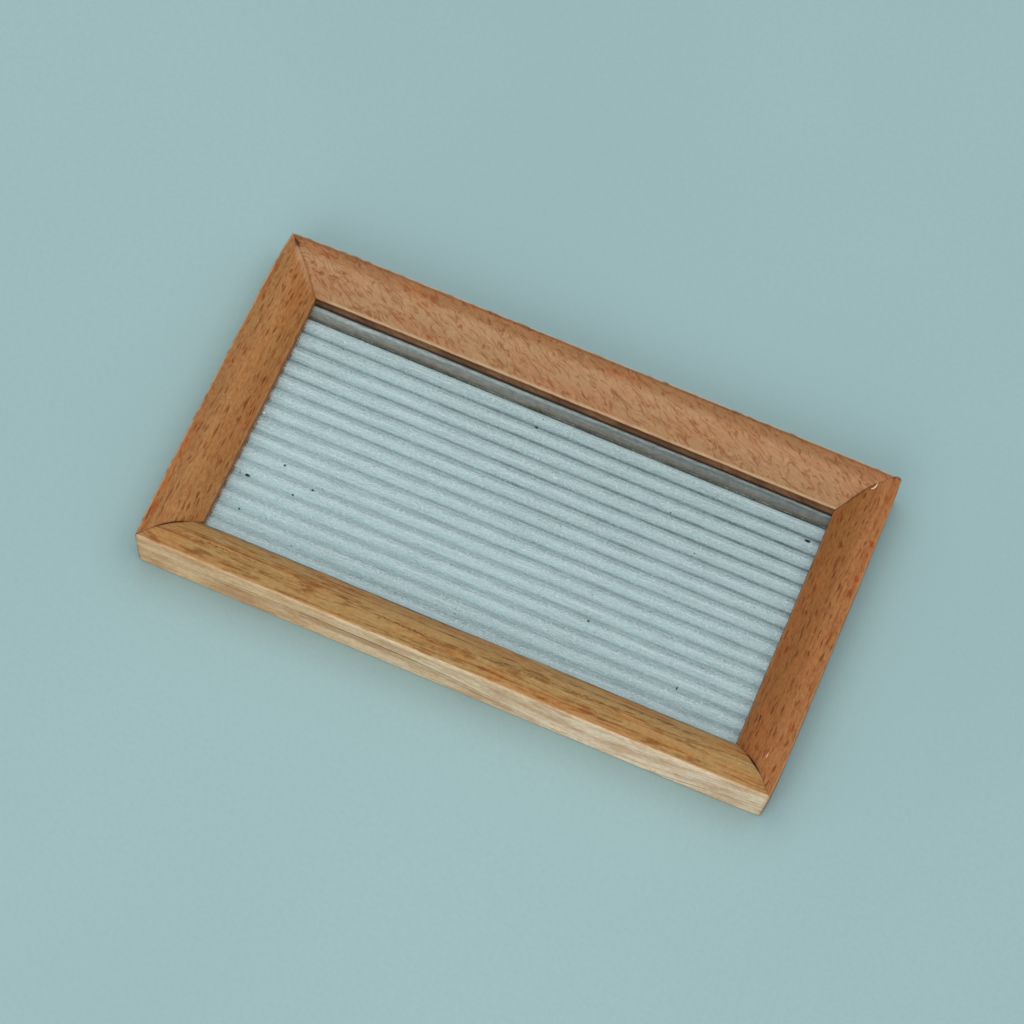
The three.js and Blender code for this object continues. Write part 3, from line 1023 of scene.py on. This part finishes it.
# The splinter's middle line from its hooked inner end, in millimetres in from the board's short
# and long sides
SPLINTER_LINE = [(6.55, 5.95), (6.15, 6.35), (5.45, 6.05), (5.40, 4.90), (5.45, 4.50), (5.35, 4.05)]
SPLINTER_STEPS = 14
SPLINTER_SIDES = 6


def build_splinter(material):
    """A pale splinter in the back right joint: a thin tube that lies on the wood."""
    corner = Vector((BOARD_LENGTH / 2, BOARD_WIDTH / 2, 0))
    spine = bezier([(a, b, 0) for a, b in SPLINTER_LINE], SPLINTER_STEPS)
    vertices, faces = [], []
    sides = SPLINTER_SIDES
    for k, (a, b, _) in enumerate(spine):
        t = k / (len(spine) - 1)
        before, after = spine[max(k - 1, 0)], spine[min(k + 1, len(spine) - 1)]
        run = Vector((before[0] - after[0], before[1] - after[1], 0)).normalized()
        out = Vector((-run.y, run.x, 0))
        half = (0.06 + 0.11 * math.sin(math.pi * min(t * 1.1 + 0.08, 1.0))) * MM
        top = RAIL_HEIGHT - (0.05 + 0.13 * (a - RIDGE_INSET / MM) ** 2) * MM
        middle = corner - Vector((a, b, 0)) * MM + Vector((0, 0, top))
        for m in range(sides):
            angle = 2 * math.pi * m / sides
            lift = Vector((0, 0, 0.7 * half * math.sin(angle)))
            vertices.append(middle + out * half * math.cos(angle) + lift)
    for k in range(len(spine) - 1):
        for m in range(sides):
            n = (m + 1) % sides
            faces.append((k * sides + m, k * sides + n, (k + 1) * sides + n, (k + 1) * sides + m))
    faces += [tuple(range(sides)), tuple((len(spine) - 1) * sides + m for m in range(sides))]
    mesh = make_mesh("back_right_splinter", vertices, faces, 60)
    place_piece(mesh, material)


# -------- glass


def rib_height(y):
    """Height of the ribbed face: convex arcs that meet in narrow, slightly filled valleys."""
    radius = (RIB_PITCH ** 2 / 4 + RIB_HEIGHT ** 2) / (2 * RIB_HEIGHT)
    near = from_valley(y)
    drop = radius - math.sqrt(radius ** 2 - (RIB_PITCH / 2 - near) ** 2)
    return PANE_HIGH.z - drop + 0.1 * MM * math.exp(-near / (0.12 * MM))


def from_valley(y):
    """How far y is from the nearest valley."""
    phase = (y - RIB_SHIFT) / RIB_PITCH
    across = (phase - math.floor(phase) - 0.5) * RIB_PITCH
    return RIB_PITCH / 2 - abs(across)


def behind_valley(y):
    """How far y lies behind the nearest valley, below zero in front of it."""
    phase = (y - RIB_SHIFT) / RIB_PITCH + 0.5
    return (phase - math.floor(phase) - 0.5) * RIB_PITCH


def valley_line_strength(x, y):
    """How strong the dirt and painted shade in the valleys and the painted shadow under them are: weaker
    towards the front left corner.
    """
    return 1 - 0.7 * math.exp(-math.dist((x, y), (PANE_LOW.x, PANE_LOW.y)) / (45 * MM))


def valley_dirt_and_shade(x, y, rightward):
    """How much dirt and painted shade lie at the valleys: a line that thins out behind, heavier at the
    back.
    """
    behind = behind_valley(y)
    backward = smooth(PANE_LOW.y, PANE_HIGH.y, y)
    line = (0.44 + 0.58 * backward) * hump(behind + 0.10 * MM, 0.36 * MM)
    # Painted shade on each rib, fading from its valley towards the back
    painted_shade_tail = (0.18 + 0.17 * backward + 0.12 * rightward) * math.exp(
        -behind / (0.75 * MM + 0.9 * MM * rightward * backward))
    return (line + painted_shade_tail * (behind > 0)) * valley_line_strength(x, y)


def strip_dirt_and_painted_light(x, y, rightward):
    """Dirt with painted shade and reflection on the strip from the last valley to the back rail: brown,
    then grey, then pale.
    """
    beyond = y - LAST_VALLEY
    ahead = beyond / (BACK_WALL - LAST_VALLEY)
    ahead += 0.07 * noise.noise(Vector((x * 160, y * 400, 7.5))) * (ahead > 0.1)
    ahead += 0.04 * noise.noise(Vector((x * 700, y * 900, 2)))
    # Painted: dark and brown by the valley for the back rail's shade and the reflection of its wall,
    # pale near the wall for a reflection of the sky, darker again at the wall's foot
    tone = 0.05 + (0.18 - 0.03 * rightward) * smooth(0.0, 0.24, ahead)
    tone += 0.43 * smooth(0.48 + 0.22 * rightward, 0.80 + 0.08 * rightward, ahead)
    foot = smooth(0.92 + 0.04 * rightward, 0.96 + 0.03 * rightward, ahead)
    tone *= (1 - 0.22 * rightward) * (1 - 0.85 * foot)
    line = hump(beyond + 0.22 * MM, 0.40 * MM)
    amount = max(1.2 * line, 1.2 * smooth(0.0, 0.06, ahead))
    return amount, tone * (1 - line), 1 - smooth(0.24, 0.46, ahead)


def top_dirt_and_painted_light(x, y):
    """Dirt, painted shade and painted light on the ribbed face: how much, how light from 0 to 1, and how
    brown from 0 to 1.

    It lies in the valleys, on the last rib as a painted pale veil of light and on the strip behind that
    rib.
    """
    rightward = smooth(PANE_LOW.x, PANE_HIGH.x, x)
    beyond = y - LAST_VALLEY
    if beyond >= -0.6 * MM:
        return strip_dirt_and_painted_light(x, y, rightward)
    amount = valley_dirt_and_shade(x, y, rightward)
    # Painted light: a pale veil on the last rib, in the back rail's shade
    painted_light_veil = 0.30 * smooth(-2.2 * MM, -1.2 * MM, beyond)
    return max(amount, painted_light_veil), (0.06 if amount > painted_light_veil else 0.8), 0.0


def underside_painted_shadow(x, y):
    """How dark the underside is in the shadow of the nearest valley, but for the last ribs."""
    strength = 0.54 - 0.14 * smooth(PANE_LOW.y, PANE_HIGH.y, y)
    in_shadow = hump(from_valley(y + SHADOW_SHIFT), 0.50 * MM) * math.sqrt(valley_line_strength(x, y))
    return strength * in_shadow * (y < PANE_HIGH.y - 2.15 * RIB_PITCH)


def build_pane(material):
    """The ribbed pane: for each x, a row of points over the ribs and one below."""
    half_width, half_length = PANE_HIGH.y, PANE_HIGH.x
    fine = RIB_PITCH / 28
    low_step = math.ceil((-half_width - RIB_SHIFT) / fine)
    high_step = math.floor((half_width - RIB_SHIFT) / fine)
    ys = [float(y) for y in np.arange(low_step, high_step + 1) * fine + RIB_SHIFT]
    ys = [-half_width, *[y for y in ys if abs(y) < half_width - 0.01 * MM], half_width]
    xs = list(np.linspace(-half_length, half_length, 71))
    looks = {"dirt_and_painted_light_layer": [], "dirt_and_painted_light_tone": [], "silt_and_wall_reflection": [], "upper": [], "painted_crest_highlight": []}
    vertices = []

    def add_point(x, y, z, *values):
        vertices.append((x, y, z))
        for key, value in zip(looks, values):
            looks[key].append(value)

    for x in xs:
        for y in ys:
            wave = noise.noise(Vector((x * 40, y * 40, 3.3))) * 0.02 * MM
            # A painted highlight along each rib's crest, away from the valleys
            painted_crest_highlight = smooth(1.0 * MM, 1.6 * MM, from_valley(y))
            add_point(x, y, rib_height(y) + wave - 0.02 * MM, *top_dirt_and_painted_light(x, y), 1.0, painted_crest_highlight)
        for y in ys:
            # The underside is painted dark in the shadow of each valley
            add_point(x, y, PANE_LOW.z, underside_painted_shadow(x, y), 0.08, 0.0, 0.0, 0.0)

    row = len(ys)
    faces = []
    for i in range(len(xs) - 1):
        a, b = i * 2 * row, (i + 1) * 2 * row
        for j in range(row - 1):
            faces.append((a + j, b + j, b + j + 1, a + j + 1))
            faces.append((a + row + j, a + row + j + 1, b + row + j + 1, b + row + j))
        faces.append((a, a + row, b + row, b))
        faces.append((a + row - 1, b + row - 1, b + 2 * row - 1, a + 2 * row - 1))
    last = (len(xs) - 1) * 2 * row
    for j in range(row - 1):
        faces.append((j, j + 1, row + j + 1, row + j))
        faces.append((last + j, last + row + j, last + row + j + 1, last + j + 1))
    mesh = make_mesh("ribbed_glass", vertices, faces, 40)
    for key, values in looks.items():
        add_values(mesh, key, values)
    place_piece(mesh, material, "ribbed_glass_pane")


# -------- the scene


def build_floor():
    size = TABLE_HALF
    mesh = bpy.data.meshes.new("table_top")
    corners = [(-size, -size, 0), (size, -size, 0), (size, size, 0), (-size, size, 0)]
    mesh.from_pydata(corners, [], [(0, 1, 2, 3)])
    mesh.materials.append(paper_material())
    floor = bpy.data.objects.new("table_top", mesh)
    bpy.context.scene.collection.objects.link(floor)


make_camera()
make_light()
build_floor()

WOODS = {name: beech_material("beech_" + name, look) for name, look in LOOKS.items()}
for rail_name, wood in WOODS.items():
    build_rail(rail_name, wood)
build_pane(glass_material())
build_splinter(splinter_material())

steel = steel_material()
for node_name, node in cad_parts.items():
    if node_name.endswith("_brad"):
        for node_slot in node.material_slots:
            node_slot.material = steel
